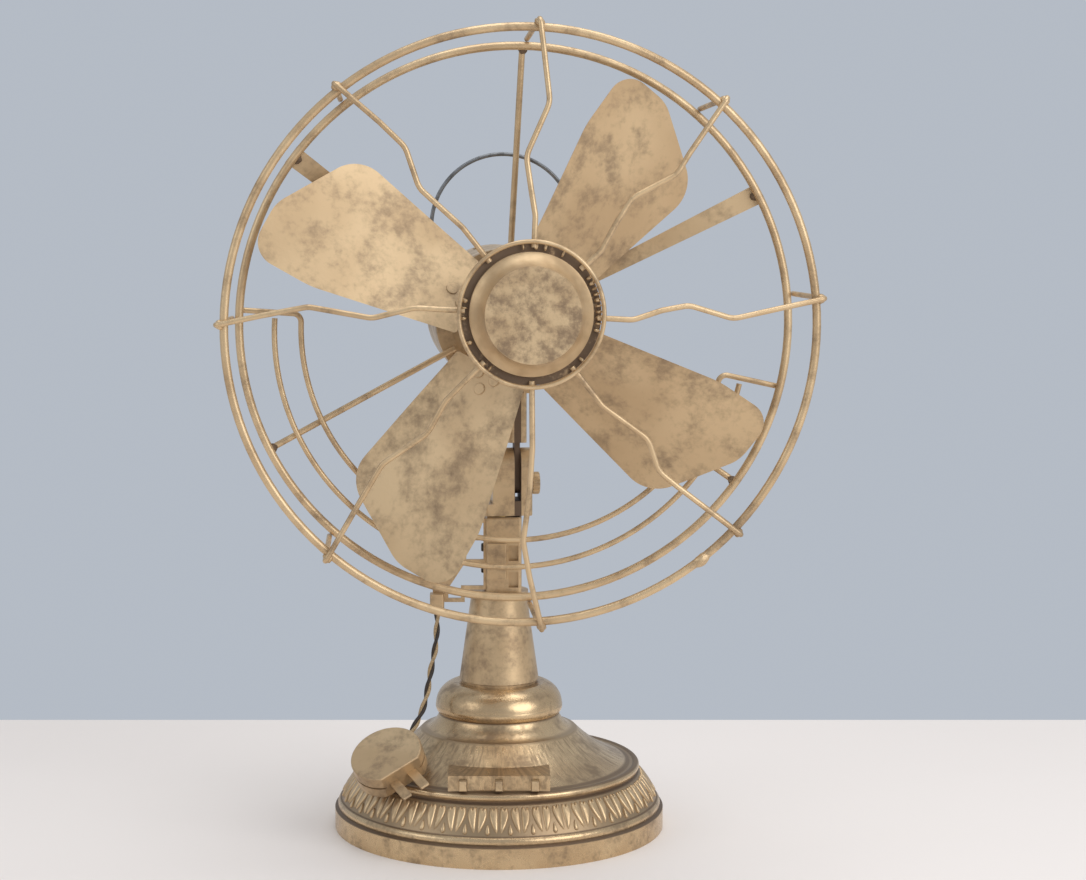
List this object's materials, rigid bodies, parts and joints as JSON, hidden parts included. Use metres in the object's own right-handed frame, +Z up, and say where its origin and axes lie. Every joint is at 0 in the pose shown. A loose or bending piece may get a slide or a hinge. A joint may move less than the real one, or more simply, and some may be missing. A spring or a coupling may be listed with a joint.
{
  "type": "electric table fan",
  "caption": "Antique pattern table fan with a wavy wire guard, sheet blades, tilting and turning head, carry handle, stepped round foot with push keys and a short corded plug",
  "frame": {"origin": "middle of the foot's resting face, on the table", "axes": "+Z up along the column, -Y towards the front with the keys, +X to the right as seen from the front"},
  "size_m": [0.3559, 0.2673, 0.5101],
  "materials": {
    "antique_gold": "matte antique gold with brown patina",
    "dark_steel": "dark oiled steel",
    "steel": "plain machined steel",
    "brass": "dull brass",
    "copper": "varnished copper",
    "felt": "dark green felt",
    "dark_plastic": "moulded dark insulator",
    "cord_braid": "twisted braided cord in gold and dark brown"
  },
  "bodies": {
    "foot": {"foot_shell": "antique_gold", "bottom_plate": "dark_steel", "bottom_screws": "steel", "felt_pad": "felt", "switch_block": "dark_plastic", "switch_screws": "steel", "contact_strips": "brass", "column": "antique_gold", "tie_tube": "steel", "tie_washer": "steel", "tie_nut": "steel", "neck_block": "antique_gold", "side_bracket": "antique_gold", "bracket_screws": "dark_steel", "cord_clip": "antique_gold", "swivel_pin": "steel", "swivel_washer": "brass", "cord": "cord_braid", "plug_body": "antique_gold", "plug_pins": "brass"},
    "key_left": {"speed_key_1": "antique_gold"},
    "key_middle": {"speed_key_2": "antique_gold"},
    "key_right": {"speed_key_3": "antique_gold"},
    "yoke": {"yoke": "antique_gold", "tilt_nut": "dark_steel"},
    "clamp": {"thumb_screw": "antique_gold"},
    "head": {"neck_bar": "antique_gold", "saddle_screws": "steel", "motor_shell_front": "antique_gold", "motor_shell_rear": "antique_gold", "motor_bolts": "steel", "shaft_bushes": "brass", "stator_core": "steel", "field_coils": "copper", "guard_mount_ring": "antique_gold", "guard_screws": "dark_steel", "front_ring": "antique_gold", "rear_ring": "antique_gold", "middle_half_ring": "antique_gold", "inner_half_ring": "antique_gold", "round_bars": "antique_gold", "flat_straps": "antique_gold", "front_wires_upper": "antique_gold", "front_wires_lower": "antique_gold", "boss_ring": "antique_gold", "boss_plate": "antique_gold", "boss_cap": "antique_gold", "boss_nut": "dark_steel"},
    "handle": {"carry_handle": "dark_steel"},
    "rotor": {"shaft": "steel", "rotor_core": "steel", "rotor_end_rings": "copper", "thrust_washers": "brass", "blade_spider": "antique_gold", "hub_screw": "steel", "blade_1": "antique_gold", "blade_2": "antique_gold", "blade_3": "antique_gold", "blade_4": "antique_gold", "blade_rivets": "antique_gold"}
  },
  "joints": [
    {"name": "head_pan", "type": "hinge", "parent": "foot", "child": "yoke", "pos_m": [0, 0, 0.2033], "axis": [0, 0, 1], "range_deg": [-45.5, 34.5]},
    {"name": "head_tilt", "type": "hinge", "parent": "yoke", "child": "head", "pos_m": [0, 0, 0.223], "axis": [0.9954, 0.0958, 0], "range_deg": [-30, 15]},
    {"name": "thumb_screw_turn", "type": "hinge", "parent": "yoke", "child": "clamp", "pos_m": [0, 0, 0.223], "axis": [0.9954, 0.0958, 0], "range_deg": [0, 360]},
    {"name": "rotor_spin", "type": "hinge", "parent": "head", "child": "rotor", "pos_m": [0, 0, 0.331], "axis": [0.0958, -0.9954, 0], "continuous": true},
    {"name": "carry_handle_swing", "type": "hinge", "parent": "head", "child": "handle", "pos_m": [0.0024, -0.02488, 0.362], "axis": [0.9954, 0.0958, 0], "range_deg": [-75, 20]},
    {"name": "key_left_press", "type": "slide", "parent": "foot", "child": "key_left", "axis": [0, 1, 0], "range_m": [0, 0.003], "stiffness_N_per_m": 300, "springref_m": -0.003},
    {"name": "key_middle_press", "type": "slide", "parent": "foot", "child": "key_middle", "axis": [0, 1, 0], "range_m": [0, 0.003], "stiffness_N_per_m": 300, "springref_m": -0.003},
    {"name": "key_right_press", "type": "slide", "parent": "foot", "child": "key_right", "axis": [0, 1, 0], "range_m": [0, 0.003], "stiffness_N_per_m": 300, "springref_m": -0.003}
  ]
}
